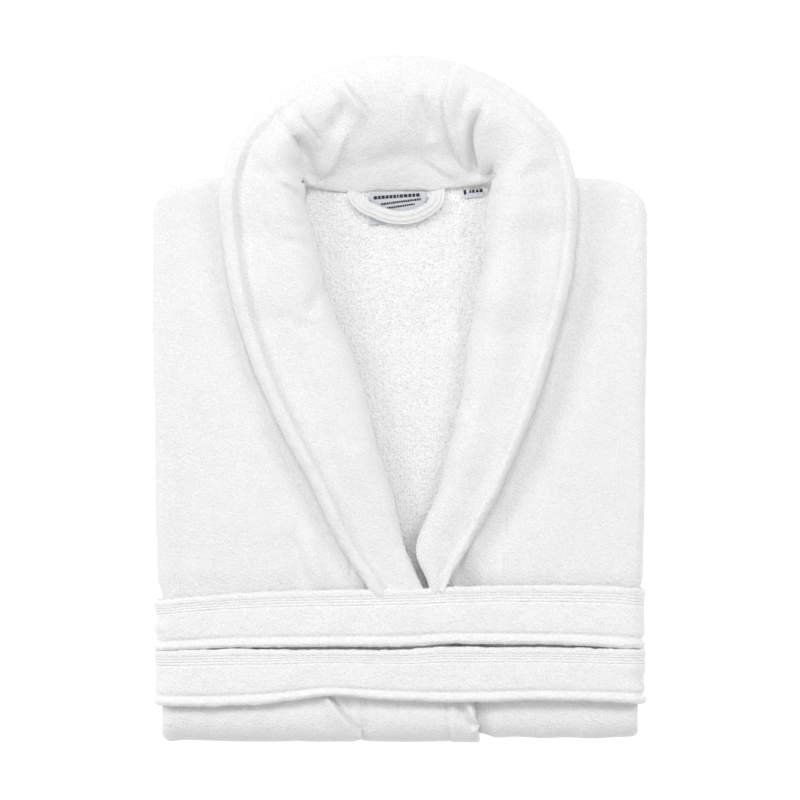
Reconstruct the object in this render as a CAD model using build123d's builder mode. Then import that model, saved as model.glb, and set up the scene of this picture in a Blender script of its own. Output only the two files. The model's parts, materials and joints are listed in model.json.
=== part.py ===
"""A shawl-collar bathrobe of terry velour, folded flat with its sash belt wrapped twice round it.

The robe lies face up: +X is to the right as one looks down on it, +Y points to the collar and +Z is up.
The origin is at the centre of the overall box, on the surface that the robe lies on.
Its length is folded under once at the foot of the bundle and once more at the hem. Its side margins
and sleeves are folded behind. All lengths are in millimetres.
"""

import os

from build123d import *

os.makedirs("parts", exist_ok=True)

# Cloth and layers. A depth is measured down from the outer face of the front.
CLOTH = 3.6
GAP = 0.3
STACK_TOP = 60.0
STACK_BOTTOM = 9.5
MID_Z = (STACK_TOP + STACK_BOTTOM) / 2
HALF_STACK = (STACK_TOP - STACK_BOTTOM) / 2
MARGIN_DEPTH = 20.0
FACING = 2.0

# Plan of the folded body.
LENGTH = 654.0
BODY_HALF = 227.3
FOOT_Y = -LENGTH / 2
FOLD_Y = FOOT_Y + HALF_STACK
SHOULDER_Y = 212.0
NECK_HALF = 88.0
NECK_SEAM_Y = 201.0
MARGIN_WIDTH = 77.0
SIDE_FOLD_R = (MARGIN_DEPTH - CLOTH) / 2
SECOND_FOLD_Y = 150.0
HEM_Y = -110.0

# The fronts cross at the foot of the neck opening, left over right.
CROSSING_Y = -177.0
LAP_EDGE_X = 76.0
LAP_FULL_Y = -292.0
UNDERLAP_X = -50.0
LEFT_CROSSING_X = 20.0
RIGHT_CROSSING_X = 27.0

# Sash belt.
BELT_WIDTH = 54.0
BELT_THICK = 5.6
BELT_RUN_GAP = 3.0
BELT_TOP_Y = -181.0
BELT_INNER_HALF = BODY_HALF + 0.4
BELT_INNER_TOP = 63.4
BELT_INNER_R = 10.0
BELT_TAIL = 62.0

# Sleeves, cuffs, pockets and belt loops.
SLEEVE_WIDTH = 208.0
SLEEVE_THICK = 6.2
SLEEVE_BOTTOM = 30.0
CUFF_LENGTH = 95.0
CUFF_END_Y = -296.0
POCKET_WIDTH = 165.0
POCKET_HEIGHT = 182.0
POCKET_THICK = 2.8
BELT_LOOP = (8.0, 60.0, 2.8)

# Neck fittings, on the inside of the back.
BACK_DEPTH = 12.5
BACK_TOP_Z = STACK_TOP - BACK_DEPTH
LABEL_THICK = 0.6
NECK_LABEL = (56.0, 34.0)
SIZE_LABEL = (19.0, 11.0)
LOOP_HALF_SPAN = 45.0
LOOP_DROP = 22.0
LOOP_WIDTH = 13.0
LOOP_THICK = 5.0
LOOP_AXIS_Y = 194.3
LOOP_BOTTOM_Z = 49.0


def save(part, name):
    """Labels a finished piece and writes it as one node."""
    part.label = name
    export_step(part, f"parts/{name}.step")


def depth_z(depth, half):
    """Height of a depth in the upper (+1) or lower (-1) half of the bundle."""
    return MID_Z + half * (HALF_STACK - depth)


# ---------------------------------------------------------------- fronts, facings and back
FOLD_AXIS = Axis((0, FOLD_Y, MID_Z), (1, 0, 0))


def sheet_section(points, half, thick=CLOTH):
    """Cross-section of a sheet at the foot fold, along points of (x, depth of its middle)."""
    with BuildSketch(Plane.XZ.offset(-FOLD_Y)) as section:
        with BuildLine():
            if len(points) > 2:
                FilletPolyline([(x, depth_z(d, half)) for x, d in points], radius=SIDE_FOLD_R)
            else:
                Line(*[(x, depth_z(d, half)) for x, d in points])
        trace(line_width=thick)
    return section.sketch


def folded_sheet(points, top_end, thick=CLOTH, under_end=SECOND_FOLD_Y):
    """A sheet that runs down the face of the bundle, round its foot and back up underneath."""
    upper = sheet_section(points, 1, thick)
    lower = sheet_section(points, -1, thick)
    with BuildPart() as sheet:
        extrude(upper, amount=FOLD_Y - top_end)
        revolve(upper, axis=FOLD_AXIS, revolution_arc=180)
        extrude(lower, amount=FOLD_Y - under_end)
    return sheet.part


def hem_run(x_low, x_high, z_from, z_to):
    """The sheet's second fold and its last run, down to the hem."""
    turn_r = (z_from - z_to) / 2
    with BuildPart() as run:
        with BuildSketch(Plane.YZ.offset(x_low)):
            with BuildLine():
                ThreePointArc(
                    (SECOND_FOLD_Y, z_from),
                    (SECOND_FOLD_Y + turn_r, (z_from + z_to) / 2),
                    (SECOND_FOLD_Y, z_to),
                )
                Line((SECOND_FOLD_Y, z_to), (HEM_Y, z_to))
            trace(line_width=CLOTH)
        extrude(amount=x_high - x_low)
    return run.part


middle = CLOTH / 2
side_x = BODY_HALF - middle
margin_x = BODY_HALF - MARGIN_WIDTH
under_depth = 2 * CLOTH + FACING - 0.9
left_path = [
    (LAP_EDGE_X, middle),
    (-side_x, middle),
    (-side_x, MARGIN_DEPTH - middle),
    (-margin_x, MARGIN_DEPTH - middle),
]
right_path = [
    (UNDERLAP_X, under_depth),
    (LAP_EDGE_X - 6, under_depth),
    (LAP_EDGE_X + 12, middle),
    (side_x, middle),
    (side_x, MARGIN_DEPTH - middle),
    (margin_x, MARGIN_DEPTH - middle),
]
front_hem_z = STACK_BOTTOM + middle - CLOTH - 0.9
left_cut = [
    (-NECK_HALF, SHOULDER_Y + 20),
    (-NECK_HALF, SHOULDER_Y),
    (LEFT_CROSSING_X, CROSSING_Y),
    (LAP_EDGE_X, LAP_FULL_Y),
    (LAP_EDGE_X + 10, LAP_FULL_Y),
    (LAP_EDGE_X + 10, SHOULDER_Y + 20),
]
right_cut = [
    (NECK_HALF, SHOULDER_Y + 20),
    (NECK_HALF, SHOULDER_Y),
    (RIGHT_CROSSING_X, CROSSING_Y),
    (UNDERLAP_X, -260),
    (UNDERLAP_X - 10, -260),
    (UNDERLAP_X - 10, SHOULDER_Y + 20),
]


def shoulder_cut(side):
    """Plan of what the shoulder slope takes off one top corner."""
    return [
        (side * NECK_HALF, SHOULDER_Y),
        (side * (BODY_HALF - 22), SHOULDER_Y - 6),
        (side * (BODY_HALF - 7), SHOULDER_Y - 13),
        (side * BODY_HALF, SHOULDER_Y - 28),
        (side * (BODY_HALF + 5), SHOULDER_Y - 28),
        (side * (BODY_HALF + 5), SHOULDER_Y + 5),
        (side * NECK_HALF, SHOULDER_Y + 5),
    ]


for name, path, neck_cut, side, hem_x in (
    ("front_panel_left", left_path, left_cut, -1, (-margin_x - 60, LAP_EDGE_X)),
    ("front_panel_right", right_path, right_cut, 1, (LAP_EDGE_X + GAP, margin_x + 60)),
):
    with BuildPart() as front_panel:
        add(folded_sheet(path, SHOULDER_Y))
        add(hem_run(*hem_x, STACK_BOTTOM + middle, front_hem_z))
        for outline in (neck_cut, shoulder_cut(side)):
            with BuildSketch(Plane.XY.offset(MID_Z)):
                with BuildLine():
                    Polyline(*outline, close=True)
                make_face()
            extrude(amount=2 * HALF_STACK, mode=Mode.SUBTRACT)
    save(front_panel.part, name)

# Each facing is the strip that lines a front's free edge below the crossing.
facing_width = 70.0
for name, edge_x, sign, depth in (
    ("front_facing_left", LAP_EDGE_X - 10, -1, CLOTH + 0.2),
    ("front_facing_right", UNDERLAP_X, 1, under_depth + middle + 0.2),
):
    facing_line = [(edge_x, depth + FACING / 2), (edge_x + sign * facing_width, depth + FACING / 2)]
    with BuildPart() as facing:
        add(folded_sheet(facing_line, LAP_FULL_Y + 2, FACING))
    save(facing.part, name)

back_half = 213.0
back_upper_z = BACK_TOP_Z - middle
back_lower_z = depth_z(BACK_DEPTH + middle, -1)
back_fold_r = (back_upper_z - back_lower_z) / 2
hem_fold_r = (back_lower_z - middle) / 2
with BuildPart() as back_panel:
    with BuildSketch(Plane.YZ.offset(-back_half)):
        with BuildLine():
            Line((NECK_SEAM_Y - 1.5, back_upper_z), (FOLD_Y, back_upper_z))
            ThreePointArc((FOLD_Y, back_upper_z), (FOLD_Y - back_fold_r, MID_Z), (FOLD_Y, back_lower_z))
            Line((FOLD_Y, back_lower_z), (SECOND_FOLD_Y, back_lower_z))
            ThreePointArc(
                (SECOND_FOLD_Y, back_lower_z),
                (SECOND_FOLD_Y + hem_fold_r, middle + hem_fold_r),
                (SECOND_FOLD_Y, middle),
            )
            Line((SECOND_FOLD_Y, middle), (HEM_Y, middle))
        trace(line_width=CLOTH)
    extrude(amount=2 * back_half)
save(back_panel.part, "back_panel")


# ---------------------------------------------------------------- sleeves, cuffs, pockets, belt loops
def flat_tube(width, thick, wall, x_middle, z_low, y_from, y_to):
    """A cloth tube pressed flat, open at both ends."""
    with BuildPart() as tube:
        with BuildSketch(Plane.XZ.offset(-y_from)):
            with Locations((x_middle, z_low + thick / 2)):
                SlotOverall(width, thick)
                SlotOverall(width - 2 * wall, thick - 2 * wall, mode=Mode.SUBTRACT)
        extrude(amount=y_from - y_to)
    return tube.part


for name, side in (("left", -1), ("right", 1)):
    sleeve_x = side * (BODY_HALF - 6 - SLEEVE_WIDTH / 2)
    cuff_top_y = CUFF_END_Y + CUFF_LENGTH
    with BuildPart() as sleeve:
        add(
            flat_tube(
                SLEEVE_WIDTH, SLEEVE_THICK, 2.8, sleeve_x, SLEEVE_BOTTOM, cuff_top_y + GAP, SHOULDER_Y - 20
            )
        )
    save(sleeve.part, f"sleeve_{name}")

    with BuildPart() as cuff:
        add(flat_tube(SLEEVE_WIDTH - 8, SLEEVE_THICK, 2.8, sleeve_x, SLEEVE_BOTTOM, CUFF_END_Y, cuff_top_y))
    save(cuff.part, f"cuff_{name}")

    pocket_z = STACK_BOTTOM - GAP - POCKET_THICK
    with BuildPart() as pocket:
        with BuildSketch(Plane.XY.offset(pocket_z)):
            with Locations((side * 105, -302 + POCKET_HEIGHT / 2)):
                RectangleRounded(POCKET_WIDTH, POCKET_HEIGHT, 12)
        extrude(amount=POCKET_THICK)
    save(pocket.part, f"pocket_{name}")

    loop_z = SLEEVE_BOTTOM + SLEEVE_THICK + GAP + BELT_LOOP[2] / 2
    with BuildPart() as belt_loop:
        with Locations((side * (margin_x + 8), -208, loop_z)):
            Box(*BELT_LOOP)
        fillet(belt_loop.edges().filter_by(Axis.Z), 2.5)
    save(belt_loop.part, f"belt_loop_{name}")

# ---------------------------------------------------------------- shawl collar
# Each station is a vertical plane from a point on the collar's inner line to one on its outer edge.
# A profile gives (share of the way out, height) for six points, over the cloth and then under it.
STAND_TOP = [(0.0, 51), (0.30, 66), (0.72, 93), (0.90, 89), (1.0, 66), (0.96, 4)]
STAND_UNDER = [(0.03, 43), (0.36, 56), (0.72, 84), (0.85, 80), (0.93, 62), (0.89, 4)]
BEND_TOP = [(0.0, 53), (0.20, 76), (0.50, 94), (0.80, 90), (1.0, 68), (0.97, 14)]
BEND_UNDER = [(0.06, 46), (0.28, 68), (0.52, 85), (0.75, 82), (0.92, 64), (0.89, 14)]
CORNER_TOP = [(0.0, 57), (0.13, 76), (0.42, 90), (0.78, 84), (0.985, 70), (0.985, 38)]
CORNER_UNDER = [(0.04, 53), (0.20, 65), (0.45, 75), (0.73, 73), (0.92, 63), (0.935, 37)]
SHOULDER_TOP = [(0.0, 61), (0.06, 76), (0.35, 87), (0.75, 79), (0.97, 71), (1.0, 62)]
FLAT_UNDER = [(0.02, 60.6), (0.12, 62), (0.38, 65), (0.72, 64), (0.93, 62), (0.98, 60.6)]
LAPEL_TOP = [(0.0, 63), (0.07, 74), (0.32, 79), (0.72, 72), (0.96, 70), (1.0, 63)]
LOW_TOP = [(0.0, 63), (0.08, 71), (0.34, 75), (0.72, 71), (0.95, 69), (1.0, 63)]
TIP_TOP = [(0.0, 62), (0.10, 67), (0.36, 69), (0.72, 69), (0.94, 67), (1.0, 62)]

CENTRE_BACK_X = 2.0
LEFT_STATIONS = [
    ((CENTRE_BACK_X - 0.2, NECK_SEAM_Y), (CENTRE_BACK_X - 0.2, 327), STAND_TOP, STAND_UNDER),
    ((-38, NECK_SEAM_Y + 1), (-66, 316), STAND_TOP, STAND_UNDER),
    ((-68, 204), (-131, 268), BEND_TOP, BEND_UNDER),
    ((-77, 204), (-153, 242), CORNER_TOP, CORNER_UNDER),
    ((-83, 208), (-166, 217), SHOULDER_TOP, FLAT_UNDER),
    ((-85, 152), (-169, 143), SHOULDER_TOP, FLAT_UNDER),
    ((-52, 76), (-155, 78), LAPEL_TOP, FLAT_UNDER),
    ((-24, -18), (-118, -18), LAPEL_TOP, FLAT_UNDER),
    ((-5, -95), (-79, -95), LOW_TOP, FLAT_UNDER),
    ((21, -176), (-32, -176), TIP_TOP, FLAT_UNDER),
]
RIGHT_STATIONS = [
    ((CENTRE_BACK_X + 0.2, NECK_SEAM_Y), (CENTRE_BACK_X + 0.2, 327), STAND_TOP, STAND_UNDER),
    ((40, NECK_SEAM_Y + 1), (72, 316), STAND_TOP, STAND_UNDER),
    ((66, 204), (131, 272), BEND_TOP, BEND_UNDER),
    ((76, 204), (152, 244), CORNER_TOP, CORNER_UNDER),
    ((84, 207), (164, 216), SHOULDER_TOP, FLAT_UNDER),
    ((74, 152), (168, 148), SHOULDER_TOP, FLAT_UNDER),
    ((64, 76), (158, 78), LAPEL_TOP, FLAT_UNDER),
    ((45, -18), (124, -18), LAPEL_TOP, FLAT_UNDER),
    ((31, -95), (86, -95), LOW_TOP, FLAT_UNDER),
    ((27, -176), (40, -176), TIP_TOP, FLAT_UNDER),
]


def station_plane(inner, outer):
    """Vertical plane with its own x from inner to outer and its own y up; and the distance between them."""
    reach = Vector(outer[0] - inner[0], outer[1] - inner[1], 0)
    way = reach.normalized()
    return Plane(origin=(*inner, 0), x_dir=way, z_dir=way.cross(Vector(0, 0, 1))), reach.length


def collar_layer(stations, upper):
    """The upper collar or the under collar of one side, from the crossing to the centre back."""
    with BuildPart() as layer:
        for inner, outer, over, under in reversed(stations):
            plane, reach = station_plane(inner, outer)
            depth = 0.46 if upper else 0.54
            between = [
                ((a[0] + (b[0] - a[0]) * depth) * reach, a[1] + (b[1] - a[1]) * depth)
                for a, b in zip(over, under)
            ]
            outside = [(share * reach, z) for share, z in (over if upper else under)]
            with BuildSketch(plane):
                with BuildLine():
                    Polyline(*outside, *reversed(between), close=True)
                make_face()
        loft(ruled=True)
    return layer.part


# The free edge of each side, its fall, lifts about the straight line between these two points.
FALL_LINES = {"left": ((-150, 240), (-36, -168)), "right": ((150, 242), (44, -168))}
FALL_GAP = 0.5

for name, side, stations in (("left", -1, LEFT_STATIONS), ("right", 1, RIGHT_STATIONS)):
    start, end = (Vector(x, y, 0) for x, y in FALL_LINES[name])
    along = (end - start).normalized()
    outward = Vector(along.Y, -along.X, 0)
    if outward.X * side < 0:
        outward = -outward
    for layer_name, upper in (("upper", True), ("under", False)):
        whole = collar_layer(stations, upper)
        with BuildPart() as stand:
            add(whole)
            split(
                bisect_by=Plane(origin=start - outward * (FALL_GAP / 2), z_dir=outward),
                keep=Keep.BOTTOM,
            )
        save(stand.part, f"{layer_name}_collar_{name}")
        with BuildPart() as fall:
            add(whole)
            split(
                bisect_by=Plane(origin=start + outward * (FALL_GAP / 2), z_dir=outward),
                keep=Keep.TOP,
            )
        save(fall.part, f"{layer_name}_fall_{name}")

# ---------------------------------------------------------------- sash belt
belt_low_y = BELT_TOP_Y - BELT_WIDTH - BELT_RUN_GAP
belt_mid_half = BELT_INNER_HALF + BELT_THICK / 2
belt_mid_top = BELT_INNER_TOP + BELT_THICK / 2
belt_mid_bottom = BELT_THICK / 2
belt_mid_r = BELT_INNER_R + BELT_THICK / 2
tail_x = BELT_INNER_HALF - BELT_TAIL


def belt_turn(y_high, left_end, right_end):
    """One turn of the belt, open underneath between its two ends."""
    with BuildPart() as turn:
        with BuildSketch(Plane.XZ.offset(-y_high)):
            with BuildLine():
                FilletPolyline(
                    (left_end, belt_mid_bottom),
                    (-belt_mid_half, belt_mid_bottom),
                    (-belt_mid_half, belt_mid_top),
                    (belt_mid_half, belt_mid_top),
                    (belt_mid_half, belt_mid_bottom),
                    (right_end, belt_mid_bottom),
                    radius=belt_mid_r,
                )
            trace(line_width=BELT_THICK)
        extrude(amount=BELT_WIDTH)
    return turn.part


cross_x = 150.0
with BuildPart() as belt:
    add(belt_turn(BELT_TOP_Y, -tail_x, cross_x))
    add(belt_turn(belt_low_y, -cross_x, tail_x))
    with BuildSketch():
        with BuildLine():
            Polyline(
                (cross_x, BELT_TOP_Y),
                (-cross_x, belt_low_y),
                (-cross_x, belt_low_y - BELT_WIDTH),
                (cross_x, BELT_TOP_Y - BELT_WIDTH),
                close=True,
            )
        make_face()
    extrude(amount=BELT_THICK)
save(belt.part, "belt")

# ---------------------------------------------------------------- hanging loop and labels
loop_end_y = LOOP_AXIS_Y - 3
with BuildPart() as hanging_loop:
    with BuildLine() as loop_path:
        ThreePointArc(
            (-LOOP_HALF_SPAN - 2, loop_end_y, LOOP_BOTTOM_Z + LOOP_THICK / 2),
            (-2, loop_end_y - LOOP_DROP + 5, LOOP_BOTTOM_Z + LOOP_THICK / 2),
            (LOOP_HALF_SPAN - 2, loop_end_y, LOOP_BOTTOM_Z + LOOP_THICK / 2),
        )
    with BuildSketch(Plane(loop_path.line @ 0, x_dir=(0, 0, 1), z_dir=loop_path.line % 0)):
        RectangleRounded(LOOP_THICK, LOOP_WIDTH, 1.6)
    sweep()
    split(bisect_by=Plane(origin=(0, LOOP_AXIS_Y - GAP, 0), z_dir=(0, 1, 0)), keep=Keep.BOTTOM)
save(hanging_loop.part, "hanging_loop")

for name, size, corner in (
    ("neck_label", NECK_LABEL, (-31.0, 165.0)),
    ("size_label", SIZE_LABEL, (61.0, 188.0)),
):
    with BuildPart() as label:
        with Locations((corner[0] + size[0] / 2, corner[1] + size[1] / 2, BACK_TOP_Z + 0.2 + LABEL_THICK / 2)):
            Box(*size, LABEL_THICK)
    save(label.part, name)
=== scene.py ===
"""Looks for the folded shawl-collar bathrobe: its cloth, belt, neck fittings, materials, light and camera.

Every length in the making code is in millimetres, in the row's frame: x to the right, y towards the collar
and z up. mesh_object() turns them into metres. Left is the side of -x.
"""
import json
import math

import bpy
import numpy as np
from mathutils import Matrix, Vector


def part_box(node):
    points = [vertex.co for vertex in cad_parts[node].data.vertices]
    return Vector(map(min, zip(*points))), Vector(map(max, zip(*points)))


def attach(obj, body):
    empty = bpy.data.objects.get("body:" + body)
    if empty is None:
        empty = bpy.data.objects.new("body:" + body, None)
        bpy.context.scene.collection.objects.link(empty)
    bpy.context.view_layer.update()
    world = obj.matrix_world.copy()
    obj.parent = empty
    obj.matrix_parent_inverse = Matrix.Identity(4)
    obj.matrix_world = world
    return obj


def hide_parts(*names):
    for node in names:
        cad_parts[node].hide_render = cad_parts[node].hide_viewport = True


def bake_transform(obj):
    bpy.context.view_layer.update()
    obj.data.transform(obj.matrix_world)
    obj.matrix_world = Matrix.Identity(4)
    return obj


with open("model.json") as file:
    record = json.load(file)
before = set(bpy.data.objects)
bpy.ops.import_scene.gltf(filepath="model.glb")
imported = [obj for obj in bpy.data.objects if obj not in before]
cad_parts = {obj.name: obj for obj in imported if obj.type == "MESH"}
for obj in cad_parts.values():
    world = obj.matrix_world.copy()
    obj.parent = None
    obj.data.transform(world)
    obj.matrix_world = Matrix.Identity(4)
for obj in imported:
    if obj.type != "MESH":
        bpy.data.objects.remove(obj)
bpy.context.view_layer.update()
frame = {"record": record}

MM = 0.001
LEFT, RIGHT = -1, 1
SIDES = (("left", LEFT), ("right", RIGHT))


def box_mm(node):
    """Lowest and highest corner of a CAD node, in millimetres."""
    return [np.array(corner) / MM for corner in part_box(node)]


# ------------------------------------------------------------------ sizes from the frame
FRONT_LOW, FRONT_HIGH = box_mm("front_panel_left")
BACK_HIGH = box_mm("back_panel")[1]
BELT_HIGH = box_mm("belt")[1]
LABEL_LOW, LABEL_HIGH = box_mm("neck_label")
TAG_LOW, TAG_HIGH = box_mm("size_label")

TOP = FRONT_HIGH[2]
FOOT_Y = FRONT_LOW[1]
SHOULDER_Y = FRONT_HIGH[1]
UNDER = 9.5
MID_Z = (TOP + UNDER) / 2
FOOT_R = (TOP - UNDER) / 2
FOOT_MID_Y = FOOT_Y + FOOT_R
SECOND_FOLD_Y = 150.0
HEM_Y = -108.0
FLOOR_OF_NECK = BACK_HIGH[2]
CLOTH = 4.4
MARGIN_DEPTH = 18.0
BELT_WIDTH = 54.0


# ------------------------------------------------------------------ numbers and curves
def smoothstep(x, low, high):
    t = np.clip((x - low) / (high - low), 0, 1)
    return t * t * (3 - 2 * t)


def bell(d, width):
    return np.exp(-((d / width) ** 2))


def noise(x, y, size, seed):
    """Smooth noise from -1 to 1, with features about size across. x and y are arrays of one shape."""
    lattice = np.random.default_rng(seed).uniform(-1, 1, (256, 256))
    gx, gy = np.asarray(x) / size + 57.3, np.asarray(y) / size + 31.7
    ix, iy = np.floor(gx).astype(int), np.floor(gy).astype(int)
    fx, fy = gx - ix, gy - iy
    wx, wy = fx * fx * (3 - 2 * fx), fy * fy * (3 - 2 * fy)

    def at(a, b):
        return lattice[(ix + a) % 256, (iy + b) % 256]

    low = at(0, 0) * (1 - wx) + at(1, 0) * wx
    high = at(0, 1) * (1 - wx) + at(1, 1) * wx
    return low * (1 - wy) + high * wy


def curve(x, knots, values):
    """Smooth curve without overshoot through values at knots. values may have more axes after the first."""
    knots = np.asarray(knots, float)
    values = np.asarray(values, float)
    shape = values.shape[1:]
    values = values.reshape(len(knots), -1)
    step = np.diff(knots)[:, None]
    slope = np.diff(values, axis=0) / step
    tangent = np.zeros_like(values)
    tangent[0], tangent[-1] = slope[0], slope[-1]
    before, after = slope[:-1], slope[1:]
    same = before * after > 0
    mean = np.where(same, 2 * before * after / np.where(same, before + after, 1), 0)
    tangent[1:-1] = mean
    x = np.clip(np.asarray(x, float), knots[0], knots[-1])
    i = np.clip(np.searchsorted(knots, x, side="right") - 1, 0, len(knots) - 2)
    h = step[i]
    t = ((x - knots[i])[:, None]) / h
    result = (
        (1 + 2 * t) * (1 - t) ** 2 * values[i]
        + t * (1 - t) ** 2 * h * tangent[i]
        + t * t * (3 - 2 * t) * values[i + 1]
        - t * t * (1 - t) * h * tangent[i + 1]
    )
    return result.reshape((len(x),) + shape)


def spline(x, knots, values):
    """Rounder curve through values at knots, a natural cubic spline. values has a second axis."""
    knots, values = np.asarray(knots, float), np.asarray(values, float)
    step = np.diff(knots)
    slope = np.diff(values, axis=0) / step[:, None]
    system = np.eye(len(knots))
    right = np.zeros_like(values)
    for k in range(1, len(knots) - 1):
        system[k, k - 1:k + 2] = step[k - 1], 2 * (step[k - 1] + step[k]), step[k]
        right[k] = 6 * (slope[k] - slope[k - 1])
    second = np.linalg.solve(system, right)
    x = np.clip(np.asarray(x, float), knots[0], knots[-1])
    i = np.clip(np.searchsorted(knots, x, side="right") - 1, 0, len(knots) - 2)
    h = step[i][:, None]
    after = (x - knots[i])[:, None]
    before = h - after
    return (
        (second[i] * before ** 3 + second[i + 1] * after ** 3) / (6 * h)
        + (values[i] / h - second[i] * h / 6) * before
        + (values[i + 1] / h - second[i + 1] * h / 6) * after
    )


def through(points, count):
    """Evenly spaced points on a smooth line through the given ones."""
    points = np.asarray(points, float)
    way = np.concatenate([[0], np.cumsum(np.linalg.norm(np.diff(points, axis=0), axis=1))])
    fine = spline(np.linspace(0, way[-1], 20 * len(points)), way, points)
    length = np.concatenate([[0], np.cumsum(np.linalg.norm(np.diff(fine, axis=0), axis=1))])
    even = np.linspace(0, length[-1], count)
    return np.stack([np.interp(even, length, fine[:, k]) for k in range(fine.shape[1])], axis=1)


def line_distance(x, y, points):
    """Signed distance to a line of points, positive on its left, and the nearest point's share along it."""
    points = np.asarray(points, float)
    best = np.full(np.shape(x), 1e9)
    signed = np.zeros(np.shape(x))
    share = np.zeros(np.shape(x))
    lengths = np.linalg.norm(np.diff(points, axis=0), axis=1)
    start = np.concatenate([[0], np.cumsum(lengths)])
    for k, (a, b) in enumerate(zip(points[:-1], points[1:])):
        way = (b - a) / lengths[k]
        along = np.clip((x - a[0]) * way[0] + (y - a[1]) * way[1], 0, lengths[k])
        dx, dy = x - (a[0] + way[0] * along), y - (a[1] + way[1] * along)
        d = np.hypot(dx, dy)
        side = np.where(way[0] * dy - way[1] * dx >= 0, 1.0, -1.0)
        nearer = d < best
        best = np.where(nearer, d, best)
        signed = np.where(nearer, side * d, signed)
        share = np.where(nearer, (start[k] + along) / start[-1], share)
    return signed, share


def near_line(x, y, points, margin, height):
    """height(d, share) where x, y lies within margin of a smooth line through points, and 0 elsewhere."""
    line = through(points, 24)
    low, high = line.min(axis=0) - margin, line.max(axis=0) + margin
    near = (x > low[0]) & (x < high[0]) & (y > low[1]) & (y < high[1])
    result = np.zeros(np.shape(x))
    result[near] = height(*line_distance(x[near], y[near], line))
    return result


def taper(share, fade):
    """1 along the middle of a line and 0 at its two ends."""
    return np.sin(np.clip(np.minimum(share, 1 - share) / fade, 0, 1) * math.pi / 2)


def groove(x, y, points, depth, width, fade=0.3):
    """Depth of a soft valley along a line, which fades towards both ends. A negative depth makes a ridge."""
    return near_line(x, y, points, 2.6 * width, lambda d, share: -depth * bell(d, width) * taper(share, fade))


def pleat(x, y, points, rise, reach, high=LEFT, sharp=2.4, fade=0.3):
    """A fold over the cloth beside it: high within reach on one side of a line, where its edge is sharp.

    high says which side that is as one goes along the line, LEFT or RIGHT."""
    def height(d, share):
        d = -d * high
        over = rise * bell(np.maximum(d, 0), reach) * smoothstep(d, -sharp, 0.2 * sharp)
        return taper(share, fade) * (over - 0.5 * rise * bell(d + sharp, sharp))

    return near_line(x, y, points, 2.6 * reach, height)


def pit(x, y, centre, size, depth):
    """A soft hollow, size across and along y."""
    return -depth * bell(np.hypot((x - centre[0]) / size[0], (y - centre[1]) / size[1]), 1.0)


# ------------------------------------------------------------------ meshes
def mesh_object(name, points, faces):
    """A smooth-shaded object from points in millimetres."""
    mesh = bpy.data.meshes.new(name)
    mesh.from_pydata((np.asarray(points, float) * MM).tolist(), [], faces)
    mesh.shade_smooth()
    mesh.update()
    made = bpy.data.objects.new(name, mesh)
    bpy.context.scene.collection.objects.link(made)
    return made


def normals(grid):
    """Unit normals of a grid of points (rows, columns, 3)."""
    along = np.gradient(grid, axis=0)
    across = np.gradient(grid, axis=1)
    n = np.cross(along, across)
    return n / np.maximum(np.linalg.norm(n, axis=2, keepdims=True), 1e-9)


def rim_factor(rows, columns, last=True):
    """Share of the full thickness at each point of a grid, which rounds the rim of a layer of cloth.

    With last false, the last row stays thick, because it is sewn to the next piece."""
    edge = np.array([0.30, 0.72, 0.93])
    across = np.ones(columns)
    across[:3] = edge
    across[-3:] = edge[::-1]
    along = np.ones(rows)
    along[:3] = edge
    if last:
        along[-3:] = edge[::-1]
    return np.minimum(along[:, None], across[None, :])


def cloth(name, face, thick, flip=False, last=True, n=None):
    """A closed layer of cloth: face is the grid of its outer face, and it is thick millimetres deep."""
    rows, columns = face.shape[:2]
    if n is None:
        n = normals(face) * (-1 if flip else 1)
    factor = rim_factor(rows, columns, last)[:, :, None]
    middle = face - n * thick / 2
    front = middle + n * thick / 2 * factor
    back = middle - n * thick / 2 * factor
    return slab(name, front, back, flip)


def slab(name, front, back, flip=False):
    """A closed mesh between two grids of one shape."""
    rows, columns = front.shape[:2]
    count = rows * columns
    index = np.arange(count).reshape(rows, columns)
    a, b = index[:-1, :-1].ravel(), index[1:, :-1].ravel()
    c, d = index[1:, 1:].ravel(), index[:-1, 1:].ravel()
    top = np.stack([a, b, c, d], axis=1)
    bottom = np.stack([d, c, b, a], axis=1) + count
    rim = np.concatenate([index[:, 0], index[-1, 1:], index[-2::-1, -1], index[0, -2:0:-1]])
    after = np.roll(rim, -1)
    wall = np.stack([after, rim, rim + count, after + count], axis=1)
    faces = np.concatenate([top, bottom, wall])
    if flip:
        faces = faces[:, ::-1]
    return mesh_object(name, np.concatenate([front.reshape(-1, 3), back.reshape(-1, 3)]), faces.tolist())


def tube(name, sections):
    """A closed mesh from rings of points (rings, points, 3), with its two ends filled."""
    rings, count = sections.shape[:2]
    index = np.arange(rings * count).reshape(rings, count)
    beside = np.roll(index, -1, axis=1)
    faces = np.stack([index[:-1], beside[:-1], beside[1:], index[1:]], axis=2).reshape(-1, 4).tolist()
    faces.append(index[0][::-1].tolist())
    faces.append(index[-1].tolist())
    return mesh_object(name, sections.reshape(-1, 3), faces)


# ------------------------------------------------------------------ materials
def node(tree, kind, **values):
    made = tree.nodes.new(kind)
    for key, value in values.items():
        if hasattr(made, key):
            setattr(made, key, value)
        else:
            made.inputs[key.replace("_", " ")].default_value = value
    return made


def scaled_range(tree, source, low, high, to_low, to_high):
    """A Map Range node that turns source's low to high into to_low to to_high, held within them."""
    made = node(tree, "ShaderNodeMapRange")
    for key, value in (("From Min", low), ("From Max", high), ("To Min", to_low), ("To Max", to_high)):
        made.inputs[key].default_value = value
    tree.links.new(source, made.inputs["Value"])
    return made.outputs["Result"]


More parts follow.
